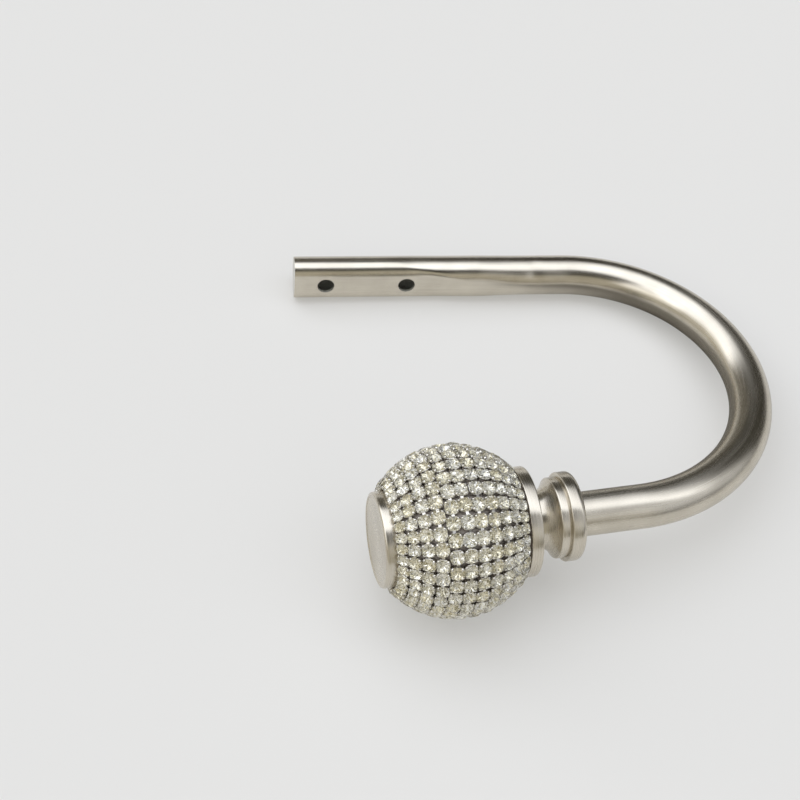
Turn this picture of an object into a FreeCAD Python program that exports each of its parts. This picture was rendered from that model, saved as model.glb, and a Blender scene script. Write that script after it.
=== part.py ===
"""Curtain holdback: a bent tube hook with a rhinestone ball finial, in millimetres.

The frame has its origin midway between the two screw holes, on the pressed flat where the screw heads seat.
+X runs along the wall arm towards the bend, +Y points to the wall and +Z is up.
"""
import FreeCAD, Part
import math
import os
import Sketcher

# Driving dimensions: alias, value and what it measures. Lengths in mm, angles in degrees.
SIZES = (
    ("tube_diameter", 12.7, "outside of the round tube"),
    ("tube_wall", 1.0, "wall of the tube"),
    ("bend_radius", 50.0, "bend of the hook, to the middle of the tube"),
    ("bend_angle", 173.0, "turn of the hook"),
    ("wall_arm_length", 87.0, "free end to the start of the bend"),
    ("ball_arm_length", 20.3, "end of the bend to the collar"),
    ("flat_half_angle", 54.0, "half of the arc that the press flattens"),
    ("flat_corner_round", 2.6, "rounded corners beside the flat"),
    ("soft_half_angle", 36.0, "the same half arc where the flat ends"),
    ("soft_corner_round", 4.7, "rounded corners there"),
    ("press_spread", 1.035, "girth of a pressed section with sharp corners, as a share of the round tube's"),
    ("pressed_length", 47.0, "stretch of the wall arm with the full flat"),
    ("flat_end_length", 9.0, "stretch in which the flat ends"),
    ("run_out_length", 21.5, "stretch from there to the round tube"),
    ("screw_hole_diameter", 5.4, "screw holes through both walls"),
    ("screw_hole_pitch", 26.0, "between the screw holes"),
    ("screw_hole_margin", 10.0, "free end to the first screw hole"),
    ("plug_length", 4.0, "plug in the free end"),
    ("ring_diameter", 25.2, "ring of the collar, round the tube"),
    ("ring_width", 4.3, "width of that ring"),
    ("ring_round", 1.6, "rounded edge of the ring, on the tube side"),
    ("edge_round", 0.4, "smaller rounded edges of the collar"),
    ("edge_round_share", 0.5, "most of the shoulder behind the ring that a rounded edge takes"),
    ("step_diameter", 22.8, "step between ring and cove"),
    ("step_width", 2.6, "width of the step"),
    ("cove_width", 5.5, "cove from the step to the neck"),
    ("neck_diameter", 15.4, "neck beside the flange"),
    ("neck_width", 1.2, "length of the neck"),
    ("flange_diameter", 31.0, "flange that the ball seats on"),
    ("flange_width", 3.5, "thickness of the flange"),
    ("tube_seat_depth", 8.0, "how far the tube enters the collar"),
    ("insert_length", 8.0, "threaded bush in the end of the tube"),
    ("stud_diameter", 5.0, "stud that holds the finial together"),
    ("seat_clearance", 0.05, "radial gap where one piece enters another"),
    ("core_diameter", 44.0, "ball under the stones"),
    ("core_length", 36.4, "ball between its two flats"),
    ("spigot_diameter", 10.0, "spigot of the end cap in the ball"),
    ("spigot_length", 8.0, "length of that spigot"),
    ("cap_diameter", 26.6, "end cap"),
    ("cap_thickness", 3.5, "disc of the end cap"),
    ("cap_round", 0.8, "rounded rim of the end cap"),
    ("cap_dish_diameter", 24.4, "dished face of the cap, inside its raised rim"),
    ("cap_rim_height", 0.2, "rim above the edge of the dish"),
    ("cap_dish_depth", 0.3, "depth of the dish at its middle"),
    ("stone_rows", 32, "rows of stones round the ball"),
    ("stone_length", 3.46, "stone along its row"),
    ("stone_width", 3.9, "stone across its row"),
    ("stone_height", 2.25, "stone from the ball to its table"),
    ("girdle_height", 1.4, "straight sides of the stone's cup"),
    ("stone_gap", 0.1, "between neighbouring stones where they are closest"),
    ("table_share", 0.7, "table of the stone, as a share of its outline"),
    ("table_corner_cut", 0.25, "cut corner of the table, as a share of its side"),
    ("seam_offset", 6.25, "seam of the two bands, from the ball's middle towards the cap"),
)

doc = FreeCAD.newDocument("CurtainHoldback")
sheet = doc.addObject("Spreadsheet::Sheet", "Sizes")
for line, (alias, size, meaning) in enumerate(SIZES, start=1):
    sheet.set(f"A{line}", meaning)
    sheet.set(f"B{line}", str(size))
    sheet.setAlias(f"B{line}", alias)
doc.recompute()


def number(expression):
    """The value of an expression on the sheet's sizes."""
    result = sheet.evalExpression(expression)
    return getattr(result, "Value", result)


TUBE_RADIUS = "Sizes.tube_diameter / 2"


class PressedSection:
    """Expressions of a pressed section: an arc closed by a flat, with rounded corners.

    Its radius comes from the girth of the round tube, and its back stays in line with the round tube's.
    """

    def __init__(self, half_angle, corner):
        angle = f"({half_angle} * 1 deg)"
        share = f"(pi - {half_angle} * pi / 180 + sin({angle}))"
        self.radius = f"({TUBE_RADIUS} * Sizes.press_spread * pi / {share})"
        self.centre = f"({TUBE_RADIUS} - {self.radius})"
        self.to_flat = f"({self.radius} * cos({angle}))"
        self.from_axis = f"({self.to_flat} - {self.centre})"
        self.reach = f"({self.radius} - {corner})"
        self.setback = f"({self.to_flat} - {corner})"
        self.rise = f"sqrt({self.reach} ^ 2 - {self.setback} ^ 2)"


FLAT = PressedSection("Sizes.flat_half_angle", "Sizes.flat_corner_round")
SOFT = PressedSection("Sizes.soft_half_angle", "Sizes.soft_corner_round")
ROUND_START = (
    "(Sizes.wall_arm_length - Sizes.pressed_length - Sizes.flat_end_length - Sizes.run_out_length)"
)

# Places along the finial's axis, counted from the end of the bend.
COLLAR_START = "Sizes.ball_arm_length"
STEP_START = f"({COLLAR_START} + Sizes.ring_width)"
COVE_START = f"({STEP_START} + Sizes.step_width)"
NECK_START = f"({COVE_START} + Sizes.cove_width)"
FLANGE_START = f"({NECK_START} + Sizes.neck_width)"
CORE_START = f"({FLANGE_START} + Sizes.flange_width)"
CORE_MIDDLE = f"({CORE_START} + Sizes.core_length / 2)"
CORE_END = f"({CORE_START} + Sizes.core_length)"
TUBE_END = f"({COLLAR_START} + Sizes.tube_seat_depth)"
SPIGOT_END = f"({CORE_END} - Sizes.spigot_length)"
STUD_RADIUS = "Sizes.stud_diameter / 2"
STUD_HOLE_RADIUS = f"({STUD_RADIUS} + Sizes.seat_clearance)"
STUD_START = f"({TUBE_END} - Sizes.insert_length)"
STUD_END = CORE_END

# The bend starts this far from the origin of the frame.
BEND_X = "(Sizes.wall_arm_length - Sizes.screw_hole_margin - Sizes.screw_hole_pitch / 2)"
BEND_Y = FLAT.from_axis


def new_body(label):
    """A body whose label names its piece."""
    body = doc.addObject("PartDesign::Body", label)
    body.Label = label
    return body


def new_sketch(body, name, plane_role, offset=None):
    """A sketch on one of the body's own planes, moved along its normal by an expression."""
    plane = next(item for item in body.Origin.OriginFeatures if item.Role == plane_role)
    sketch = body.newObject("Sketcher::SketchObject", name)
    sketch.AttachmentSupport = [(plane, "")]
    sketch.MapMode = "FlatFace"
    if offset:
        sketch.setExpression("AttachmentOffset.Base.z", offset)
    return sketch


def dimension(sketch, constraint, expression):
    """Adds a constraint whose value follows an expression."""
    index = sketch.addConstraint(constraint)
    sketch.setExpression(f"Constraints[{index}]", expression)


def fix_point(sketch, edge, end, x, y):
    """Holds one point of an edge at two expressions."""
    dimension(sketch, Sketcher.Constraint("DistanceX", -1, 1, edge, end, number(x)), x)
    dimension(sketch, Sketcher.Constraint("DistanceY", -1, 1, edge, end, number(y)), y)


def draw_outline(sketch, corners, arcs):
    """Draws a closed loop through corners given as pairs of expressions.

    arcs maps the number of an edge to the centre of its arc and tells whether it runs counter-clockwise.
    """
    points = [FreeCAD.Vector(number(x), number(y), 0) for x, y in corners]
    ends = []
    for index, start in enumerate(points):
        stop = points[(index + 1) % len(points)]
        if index in arcs:
            centre_x, centre_y, forward = arcs[index]
            centre = FreeCAD.Vector(number(centre_x), number(centre_y), 0)
            first, last = (start, stop) if forward else (stop, start)
            angles = [math.atan2(p.y - centre.y, p.x - centre.x) for p in (first, last)]
            circle = Part.Circle(centre, FreeCAD.Vector(0, 0, 1), start.distanceToPoint(centre))
            edge = sketch.addGeometry(Part.ArcOfCircle(circle, *angles))
            ends.append((edge, 1, 2) if forward else (edge, 2, 1))
        else:
            edge = sketch.addGeometry(Part.LineSegment(start, stop))
            ends.append((edge, 1, 2))
    for index, (edge, start, stop) in enumerate(ends):
        following, following_start, _ = ends[(index + 1) % len(ends)]
        sketch.addConstraint(Sketcher.Constraint("Coincident", edge, stop, following, following_start))
        fix_point(sketch, edge, start, *corners[index])
        if index in arcs:
            chord = points[(index + 1) % len(points)] - points[index]
            upright = abs(chord.x) < abs(chord.y)
            held = arcs[index][0 if upright else 1]
            kind = "DistanceX" if upright else "DistanceY"
            dimension(sketch, Sketcher.Constraint(kind, -1, 1, edge, 3, number(held)), held)


def revolve(body, name, corners, arcs):
    """Turns an outline in the body's XY plane about its X axis."""
    sketch = new_sketch(body, f"{name}_profile", "XY_Plane")
    draw_outline(sketch, corners, arcs)
    feature = body.newObject("PartDesign::Revolution", name)
    feature.Profile = sketch
    feature.ReferenceAxis = (sketch, ["H_Axis"])
    feature.Angle = 360
    sketch.Visibility = False
    doc.recompute()
    return feature


def round_edges(body, base, name, radius, rims):
    """Rounds the circular edges of a turned feature that lie at the given places and radii."""
    wanted = [(number(place), number(rim)) for place, rim in rims]
    found = []
    for index, edge in enumerate(base.Shape.Edges, start=1):
        if edge.Degenerated or not isinstance(edge.Curve, Part.Circle):
            continue
        here = (edge.Curve.Center.x, edge.Curve.Radius)
        if any(math.dist(here, rim) < 1e-6 for rim in wanted):
            found.append(f"Edge{index}")
    feature = body.newObject("PartDesign::Fillet", name)
    feature.Base = (base, found)
    feature.setExpression("Radius", radius)
    doc.recompute()
    return feature


def place_on_bend(piece):
    """Puts a piece drawn from the start of the bend into the frame."""
    piece.setExpression("Placement.Base.x", BEND_X)
    piece.setExpression("Placement.Base.y", BEND_Y)


def place_on_finial(piece):
    """Puts a piece drawn along the finial's axis at the end of the bend."""
    turn = "Sizes.bend_angle * 1 deg"
    piece.Placement = FreeCAD.Placement(
        FreeCAD.Vector(), FreeCAD.Rotation(FreeCAD.Vector(0, 0, -1), number("Sizes.bend_angle"))
    )
    piece.setExpression("Placement.Base.x", f"{BEND_X} + Sizes.bend_radius * sin({turn})")
    piece.setExpression("Placement.Base.y", f"{BEND_Y} - Sizes.bend_radius * (1 - cos({turn}))")
    piece.setExpression("Placement.Rotation.Angle", "Sizes.bend_angle")


def draw_pressed_section(sketch, section, inset):
    """Draws a pressed section, inset from its outside by an expression."""
    flat = f"({section.centre} - {section.to_flat} + {inset})"
    corner_x = f"({section.centre} - {section.setback})"
    scale = f"(({section.radius} - {inset}) / {section.reach})"
    meet_x = f"({section.centre} - {section.setback} * {scale})"
    meet_y = f"({section.rise} * {scale})"
    corners = [(meet_x, f"-{meet_y}"), (meet_x, meet_y), (flat, section.rise), (flat, f"-{section.rise}")]
    arcs = {
        0: (section.centre, "0", True),
        1: (corner_x, section.rise, True),
        3: (corner_x, f"-{section.rise}", True),
    }
    draw_outline(sketch, corners, arcs)


def draw_round_section(sketch, inset):
    """Draws the round tube as four arcs that match the edges of the pressed section beside it."""
    radius = f"({TUBE_RADIUS} - {inset})"
    side = f"({radius} / {SOFT.reach})"
    front = f"({radius} / sqrt({SOFT.to_flat} ^ 2 + {SOFT.rise} ^ 2))"
    meet_x, meet_y = f"-{SOFT.setback} * {side}", f"{SOFT.rise} * {side}"
    flat_x, flat_y = f"-{SOFT.to_flat} * {front}", f"{SOFT.rise} * {front}"
    corners = [(meet_x, f"-{meet_y}"), (meet_x, meet_y), (flat_x, flat_y), (flat_x, f"-{flat_y}")]
    draw_outline(sketch, corners, {edge: ("0", "0", True) for edge in range(len(corners))})


def draw_hook_path(sketch):
    """Draws the middle of the round tube: a straight, the bend and the straight into the collar."""
    radius = number("Sizes.bend_radius")
    turn = math.radians(number("Sizes.bend_angle"))
    start = FreeCAD.Vector(-number(ROUND_START), 0, 0)
    bend_start = FreeCAD.Vector()
    centre = FreeCAD.Vector(0, -radius, 0)
    bend_end = centre + FreeCAD.Vector(math.sin(turn), math.cos(turn), 0) * radius
    finish = bend_end + FreeCAD.Vector(math.cos(turn), -math.sin(turn), 0) * number(TUBE_END)
    arm = sketch.addGeometry(Part.LineSegment(start, bend_start))
    circle = Part.Circle(centre, FreeCAD.Vector(0, 0, 1), radius)
    bend = sketch.addGeometry(Part.ArcOfCircle(circle, math.pi / 2 - turn, math.pi / 2))
    reach = sketch.addGeometry(Part.LineSegment(bend_end, finish))
    fix_point(sketch, arm, 1, f"-{ROUND_START}", "0")
    fix_point(sketch, arm, 2, "0", "0")
    sketch.addConstraint(Sketcher.Constraint("Coincident", arm, 2, bend, 2))
    fix_point(sketch, bend, 3, "0", "-Sizes.bend_radius")
    dimension(sketch, Sketcher.Constraint("Angle", bend, turn), "Sizes.bend_angle * 1 deg")
    sketch.addConstraint(Sketcher.Constraint("Tangent", bend, 1, reach, 1))
    dimension(sketch, Sketcher.Constraint("Distance", reach, number(TUBE_END)), TUBE_END)


def make_hook_tube():
    """The tube: pressed wall arm, run-out in two stretches, bend and straight, with the screw holes."""
    body = new_body("hook_tube")
    flat_end = "Sizes.pressed_length - Sizes.wall_arm_length"
    pressed = new_sketch(body, "pressed_section", "YZ_Plane", "-Sizes.wall_arm_length")
    pressed_end = new_sketch(body, "pressed_end", "YZ_Plane", flat_end)
    soft_end = new_sketch(body, "soft_section", "YZ_Plane", f"{flat_end} + Sizes.flat_end_length")
    round_end = new_sketch(body, "round_section", "YZ_Plane", f"-{ROUND_START}")
    for inset in ("0", "Sizes.tube_wall"):
        draw_pressed_section(pressed, FLAT, inset)
        draw_pressed_section(pressed_end, FLAT, inset)
        draw_pressed_section(soft_end, SOFT, inset)
        draw_round_section(round_end, inset)
    path = new_sketch(body, "hook_path", "XY_Plane")
    draw_hook_path(path)
    arm = body.newObject("PartDesign::Pad", "pressed_arm")
    arm.Profile = pressed
    arm.setExpression("Length", "Sizes.pressed_length")
    for name, first, last in (("flat_end", pressed_end, soft_end), ("run_out", soft_end, round_end)):
        stretch = body.newObject("PartDesign::AdditiveLoft", name)
        stretch.Profile = first
        stretch.Sections = [last]
        doc.recompute()
    hook = body.newObject("PartDesign::AdditivePipe", "hook")
    hook.Profile = round_end
    hook.Spine = path
    doc.recompute()
    holes = new_sketch(body, "screw_holes", "XZ_Plane")
    for place in ("0", "Sizes.screw_hole_pitch"):
        x = f"(Sizes.screw_hole_margin - Sizes.wall_arm_length + {place})"
        radius = number("Sizes.screw_hole_diameter / 2")
        circle = Part.Circle(FreeCAD.Vector(number(x), 0, 0), FreeCAD.Vector(0, 0, 1), radius)
        hole = holes.addGeometry(circle)
        fix_point(holes, hole, 3, x, "0")
        dimension(holes, Sketcher.Constraint("Diameter", hole, 2 * radius), "Sizes.screw_hole_diameter")
    drilled = body.newObject("PartDesign::Pocket", "screw_hole_drilling")
    drilled.Profile = holes
    drilled.Type = "ThroughAll"
    drilled.Midplane = True
    place_on_bend(body)
    doc.recompute()
    return body


def make_tube_end_plug():
    """The plug that closes the free end, flush with the tube."""
    body = new_body("tube_end_plug")
    section = new_sketch(body, "plug_section", "YZ_Plane", "-Sizes.wall_arm_length")
    draw_pressed_section(section, FLAT, "(Sizes.tube_wall + Sizes.seat_clearance)")
    plug = body.newObject("PartDesign::Pad", "plug")
    plug.Profile = section
    plug.setExpression("Length", "Sizes.plug_length")
    place_on_bend(body)
    return body


def make_tube_insert():
    """The threaded bush inside the ball end of the tube."""
    body = new_body("tube_insert")
    outside = f"({TUBE_RADIUS} - Sizes.tube_wall - Sizes.seat_clearance)"
    corners = [(STUD_START, STUD_HOLE_RADIUS), (STUD_START, outside)]
    corners += [(TUBE_END, outside), (TUBE_END, STUD_HOLE_RADIUS)]
    revolve(body, "insert", corners, {})
    place_on_finial(body)
    return body


def make_threaded_stud():
    """The stud from the insert, through collar and ball, into the spigot of the cap."""
    body = new_body("threaded_stud")
    corners = [(STUD_START, "0"), (STUD_START, STUD_RADIUS), (STUD_END, STUD_RADIUS), (STUD_END, "0")]
    revolve(body, "stud", corners, {})
    place_on_finial(body)
    return body


def make_collar():
    """The turned collar: ring, step, cove, neck and flange, bored for the tube and the stud."""
    body = new_body("collar")
    bore = f"({TUBE_RADIUS} + Sizes.seat_clearance)"
    ring = "Sizes.ring_diameter / 2"
    step = "Sizes.step_diameter / 2"
    neck = "Sizes.neck_diameter / 2"
    flange = "Sizes.flange_diameter / 2"
    corners = [
        (COLLAR_START, bore),
        (COLLAR_START, ring),
        (STEP_START, ring),
        (STEP_START, step),
        (COVE_START, step),
        (NECK_START, neck),
        (FLANGE_START, neck),
        (FLANGE_START, flange),
        (CORE_START, flange),
        (CORE_START, STUD_HOLE_RADIUS),
        (TUBE_END, STUD_HOLE_RADIUS),
        (TUBE_END, bore),
    ]
    cove_edge = corners.index((COVE_START, step))
    cove_rise = f"({step} - {neck})"
    cove_radius = f"((Sizes.cove_width ^ 2 + {cove_rise} ^ 2) / (2 * {cove_rise}))"
    cove_centre = f"({neck} + {cove_radius})"
    turned = revolve(body, "turned_collar", corners, {cove_edge: (NECK_START, cove_centre, True)})
    rounded = round_edges(body, turned, "ring_rounding", "Sizes.ring_round", [(COLLAR_START, ring)])
    rims = [(STEP_START, ring), (COVE_START, step), (FLANGE_START, flange), (CORE_START, flange)]
    shoulder = f"({ring} - {step})"
    rim_round = f"min(Sizes.edge_round; Sizes.edge_round_share * {shoulder})"
    round_edges(body, rounded, "rim_rounding", rim_round, rims)
    place_on_finial(body)
    return body


def make_ball_core():
    """The ball under the stones, flat at both ends, with the stud hole and the spigot's counterbore."""
    body = new_body("ball_core")
    flat = "sqrt((Sizes.core_diameter / 2) ^ 2 - (Sizes.core_length / 2) ^ 2)"
    counterbore = "(Sizes.spigot_diameter / 2 + Sizes.seat_clearance)"
    corners = [
        (CORE_END, counterbore),
        (CORE_END, flat),
        (CORE_START, flat),
        (CORE_START, STUD_HOLE_RADIUS),
        (SPIGOT_END, STUD_HOLE_RADIUS),
        (SPIGOT_END, counterbore),
    ]
    revolve(body, "ball", corners, {1: (CORE_MIDDLE, "0", True)})
    place_on_finial(body)
    return body


def make_end_cap():
    """The cap: a disc with a raised rim and a dished face, on a spigot with a blind hole for the stud."""
    body = new_body("end_cap")
    face = f"({CORE_END} + Sizes.cap_thickness)"
    rim = "Sizes.cap_diameter / 2"
    spigot = "Sizes.spigot_diameter / 2"
    dish = "Sizes.cap_dish_diameter / 2"
    dish_edge = f"({face} - Sizes.cap_rim_height)"
    bottom = f"({dish_edge} - Sizes.cap_dish_depth)"
    dish_radius = f"(({dish}) ^ 2 + Sizes.cap_dish_depth ^ 2) / (2 * Sizes.cap_dish_depth)"
    corners = [
        (SPIGOT_END, STUD_HOLE_RADIUS),
        (STUD_END, STUD_HOLE_RADIUS),
        (STUD_END, "0"),
        (bottom, "0"),
        (dish_edge, dish),
        (face, dish),
        (face, rim),
        (CORE_END, rim),
        (CORE_END, spigot),
        (SPIGOT_END, spigot),
    ]
    dish_arc = corners.index((bottom, "0"))
    turned = revolve(body, "turned_cap", corners, {dish_arc: (f"({bottom} + {dish_radius})", "0", False)})
    round_edges(body, turned, "cap_rounding", "Sizes.cap_round", [(face, rim)])
    place_on_finial(body)
    return body


def stone_point(latitude, along, across, height):
    """A point of a stone, counted from the ball's middle: along its row, across it and above the ball."""
    level = sheet.core_diameter / 2 + height
    sine, cosine = math.sin(latitude), math.cos(latitude)
    return FreeCAD.Vector(level * sine + along * cosine, across, level * cosine - along * sine)


def stone_solid(latitude):
    """One stone in its cup at an angle from the ball's middle plane.

    The outline narrows where neighbouring rows close in. The crown has a table with cut corners.
    """
    def half_width(along):
        """Half the width at one end of the stone, kept clear of the next row."""
        room = stone_point(latitude, along, 0, 0).z * math.tan(math.pi / sheet.stone_rows)
        return min(sheet.stone_width / 2, room - sheet.stone_gap / 2)

    end = sheet.stone_length / 2
    outline = [
        (-end, -half_width(-end)),
        (end, -half_width(end)),
        (end, half_width(end)),
        (-end, half_width(-end)),
    ]
    base = [stone_point(latitude, *corner, 0) for corner in outline]
    girdle = [stone_point(latitude, *corner, sheet.girdle_height) for corner in outline]
    cut = sheet.table_corner_cut
    table = []
    for index, corner in enumerate(outline):
        for other in (outline[index - 1], outline[(index + 1) % len(outline)]):
            point = [(1 - cut) * own + cut * far for own, far in zip(corner, other)]
            inward = [sheet.table_share * distance for distance in point]
            table.append(stone_point(latitude, *inward, sheet.stone_height))
    loops = [base[::-1], table]
    for index in range(len(outline)):
        following = (index + 1) % len(outline)
        loops.append([base[index], base[following], girdle[following], girdle[index]])
        loops.append([girdle[index], girdle[following], table[2 * following], table[2 * index + 1]])
        loops.append([girdle[index], table[2 * index + 1], table[2 * index]])
    return Part.Solid(Part.Shell([Part.Face(Part.makePolygon(loop + loop[:1])) for loop in loops]))


def stone_fits(latitude, disc_radius):
    """Whether the outer end of a stone stands on the ball and clears the disc beside it."""
    end = math.copysign(sheet.stone_length / 2, latitude)
    flat = sheet.core_length / 2
    foot = stone_point(latitude, end, 0, 0)
    top = stone_point(latitude, end, 0, sheet.girdle_height)
    return abs(foot.x) < flat and (abs(top.x) < flat or top.z > disc_radius + sheet.stone_gap)


def make_band(label, direction, disc_radius, phase):
    """A band of rhinestone mesh from the seam towards the cap (1) or the collar (-1).

    It holds as many stones a row as fit beside the disc there. The phase shifts its rows round the ball.
    """
    radius = sheet.core_diameter / 2
    pitch = 2 * math.atan((sheet.stone_length + sheet.stone_gap) / 2 / radius)
    latitude = math.asin(sheet.seam_offset / radius) + direction * pitch / 2
    row_step = 360 / sheet.stone_rows
    middle = FreeCAD.Vector(number(CORE_MIDDLE), 0, 0)
    stones = []
    while stone_fits(latitude, disc_radius):
        stone = stone_solid(latitude)
        stone.translate(middle)
        for row in range(int(sheet.stone_rows)):
            copy = stone.copy()
            copy.rotate(FreeCAD.Vector(), FreeCAD.Vector(1, 0, 0), (row + phase) * row_step)
            stones.append(copy)
        latitude += direction * pitch
    band = doc.addObject("Part::Feature", label)
    band.Label = label
    band.Shape = Part.makeCompound(stones)
    place_on_finial(band)
    return band


pieces = [
    make_hook_tube(),
    make_tube_end_plug(),
    make_tube_insert(),
    make_threaded_stud(),
    make_collar(),
    make_ball_core(),
    make_band("rhinestone_band_collar_side", -1, sheet.flange_diameter / 2, 0.0),
    make_band("rhinestone_band_cap_side", 1, sheet.cap_diameter / 2, 0.5),
    make_end_cap(),
]
doc.recompute()

for item in doc.Objects:
    if {"Invalid", "Error"} & set(item.State):
        raise RuntimeError(f"{item.Label} failed: {item.State}")
for piece in pieces:
    if piece.Shape.isNull() or not piece.Shape.isValid():
        raise RuntimeError(f"{piece.Label} has no valid shape")

os.makedirs("parts", exist_ok=True)
for piece in pieces:
    piece.Shape.exportStep(f"parts/{piece.Label}.step")
    box = piece.Shape.BoundBox
    print(f"{piece.Label}: {len(piece.Shape.Solids)} solids, {piece.Shape.Volume:.1f} mm3,"
          f" {box.XLength:.1f} x {box.YLength:.1f} x {box.ZLength:.1f} mm")
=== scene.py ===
"""Looks of the curtain holdback: a satin nickel tube hook with a rhinestone ball finial.

Sizes in the classes are in millimetres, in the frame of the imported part: origin midway between the screw holes
on the pressed flat, +X along the wall arm towards the bend, +Y to the wall, +Z up.
"""
import logging
import math
from dataclasses import dataclass
from enum import Enum
from typing import Sequence

import bmesh
import bpy
from bmesh.types import BMesh, BMFace, BMVert
from bpy.types import Material, Mesh, Node, NodeSocket, NodeTree, Object
from mathutils import Matrix, Vector


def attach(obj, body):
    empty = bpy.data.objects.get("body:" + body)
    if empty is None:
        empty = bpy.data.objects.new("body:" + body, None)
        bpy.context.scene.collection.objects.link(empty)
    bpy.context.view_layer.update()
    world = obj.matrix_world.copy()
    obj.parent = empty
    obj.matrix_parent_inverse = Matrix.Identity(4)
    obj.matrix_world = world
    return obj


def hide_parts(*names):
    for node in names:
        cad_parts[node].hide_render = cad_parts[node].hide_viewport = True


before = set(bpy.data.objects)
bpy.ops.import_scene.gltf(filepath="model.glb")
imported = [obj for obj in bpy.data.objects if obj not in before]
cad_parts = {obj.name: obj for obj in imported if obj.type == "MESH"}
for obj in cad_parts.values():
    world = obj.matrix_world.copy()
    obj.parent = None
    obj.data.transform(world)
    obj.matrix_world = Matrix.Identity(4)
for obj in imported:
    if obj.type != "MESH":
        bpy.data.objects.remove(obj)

MM = 0.001
BODY = "root"
LOG = logging.getLogger("holdback")

Profile = list[tuple[float, float]]
Ring = list[BMVert]
TO_METRES = Matrix.Scale(MM, 4)
ON_AXIS = 1e-6


class Grain(Enum):
    """How a nickel surface was worked before plating, with the spacing of its lines in mm."""

    DRAWN = 0.9
    TURNED = 0.42


class BandSide(Enum):
    """Side of the seam that a rhinestone band covers, as a direction along the finial."""

    COLLAR = -1
    CAP = 1


def linear(code: str) -> tuple[float, float, float, float]:
    """Turns an sRGB hex colour into linear values.

    Args:
        code: Six hex digits with a leading hash.

    Returns:
        Red, green and blue in linear light, and a full alpha.
    """
    parts = [int(code[i:i + 2], 16) / 255 for i in (1, 3, 5)]
    levels = [p / 12.92 if p <= 0.04045 else ((p + 0.055) / 1.055) ** 2.4 for p in parts]
    return (levels[0], levels[1], levels[2], 1.0)


def add_node(tree: NodeTree, kind: str, inputs: dict | None = None, **settings: object) -> Node:
    """Adds a node with its settings, and gives its inputs values or links.

    Args:
        tree: Node tree that gets the node.
        kind: Node type identifier.
        inputs: Values, output sockets or nodes by input name or number; a node stands for its first output.
        settings: Properties of the node by name.

    Returns:
        The new node.
    """
    node = tree.nodes.new(kind)
    for name, value in settings.items():
        setattr(node, name, value)
    for key, value in (inputs or {}).items():
        if isinstance(value, Node):
            value = value.outputs[0]
        if isinstance(value, NodeSocket):
            tree.links.new(value, node.inputs[key])
        else:
            node.inputs[key].default_value = value
    return node


def object_from(name: str, mesh: Mesh) -> Object:
    """Puts a mesh into the scene as an object at the origin.

    Args:
        name: Name of the object and its mesh.
        mesh: The finished mesh.

    Returns:
        The linked object.
    """
    mesh.name = name
    piece = bpy.data.objects.new(name, mesh)
    bpy.context.scene.collection.objects.link(piece)
    return piece


def mesh_from(name: str, work: BMesh, placing: Matrix) -> Mesh:
    """Turns a working mesh of closed shapes into a plain mesh with outward normals, and frees it.

    Args:
        name: Name of the mesh.
        work: The working mesh.
        placing: Scale and place of the plain mesh.

    Returns:
        The plain mesh.
    """
    bmesh.ops.recalc_face_normals(work, faces=work.faces)
    data = bpy.data.meshes.new(name)
    work.to_mesh(data)
    work.free()
    data.transform(placing)
    return data


def bridge(work: BMesh, low: Ring, high: Ring) -> list[BMFace]:
    """Adds the faces between two rings of points.

    Args:
        work: Mesh that gets the faces.
        low: First ring.
        high: Second ring, with as many points.

    Returns:
        The faces, in order round the rings.
    """
    pairs = list(zip(low, high))
    return [work.faces.new((a, c, d, b)) for (a, b), (c, d) in zip(pairs, pairs[1:] + pairs[:1])]


def wall(work: BMesh, rings: list[Ring], rows: list[float], columns: list[float], turned: bool) -> list[BMFace]:
    """Adds the faces between rings of points, with their places on the UV map of the grain.

    Args:
        work: Mesh that gets the faces.
        rings: Rings with as many points each; a ring on the axis repeats one point.
        rows: Place of each ring on the map, in millimetres.
        columns: Place of each point round the rings, and of the first one again.
        turned: Whether the grain runs round the rings, not along them.

    Returns:
        The faces.
    """
    grain = work.loops.layers.uv["grain"]
    faces = []
    for low, high, here, ahead in zip(rings, rings[1:], rows, rows[1:]):
        for i, (left, right) in enumerate(zip(columns, columns[1:])):
            j = (i + 1) % len(low)
            places: dict[BMVert, tuple[float, float]] = {}
            for point, row, column in ((low[i], here, left), (low[j], here, right),
                                       (high[j], ahead, right), (high[i], ahead, left)):
                places.setdefault(point, (column, row) if turned else (row, column))
            if len(places) < 3:
                continue
            faces.append(work.faces.new(list(places)))
            for loop, place in zip(faces[-1].loops, places.values()):
                loop[grain].uv = place
    return faces


def running_length(points: Profile) -> list[float]:
    """Length of a closed outline up to each of its points, and all round."""
    run = [0.0]
    for here, ahead in zip(points, points[1:] + points[:1]):
        run.append(run[-1] + math.dist(here, ahead))
    return run


def bake(piece: Object) -> None:
    """Turns the modifiers of a piece into plain mesh.

    Args:
        piece: The piece, whose mesh takes its name.
    """
    graph = bpy.context.evaluated_depsgraph_get()
    baked = bpy.data.meshes.new_from_object(piece.evaluated_get(graph))
    piece.modifiers.clear()
    piece.data = baked
    baked.name = piece.name


def mottled(tree: NodeTree, size: float, detail: float, steps: tuple[float, float],
            colours: tuple[str, str]) -> tuple[Node, Node]:
    """Adds a cloudy pattern and its colours.

    Args:
        tree: Node tree of a material.
        size: Size of the clouds, in millimetres.
        detail: Number of finer layers.
        steps: Values of the pattern at which the two colours are full.
        colours: The two colours.

    Returns:
        The pattern and its colour.
    """
    where = add_node(tree, "ShaderNodeTexCoord")
    cloud = add_node(tree, "ShaderNodeTexNoise",
                     {"Vector": where.outputs["Object"], "Scale": 1 / (size * MM), "Detail": detail})
    ramp = add_node(tree, "ShaderNodeValToRGB", {"Fac": cloud})
    for stop, step, colour in zip(ramp.color_ramp.elements, steps, colours):
        stop.position, stop.color = step, linear(colour)
    return cloud, ramp


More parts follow.
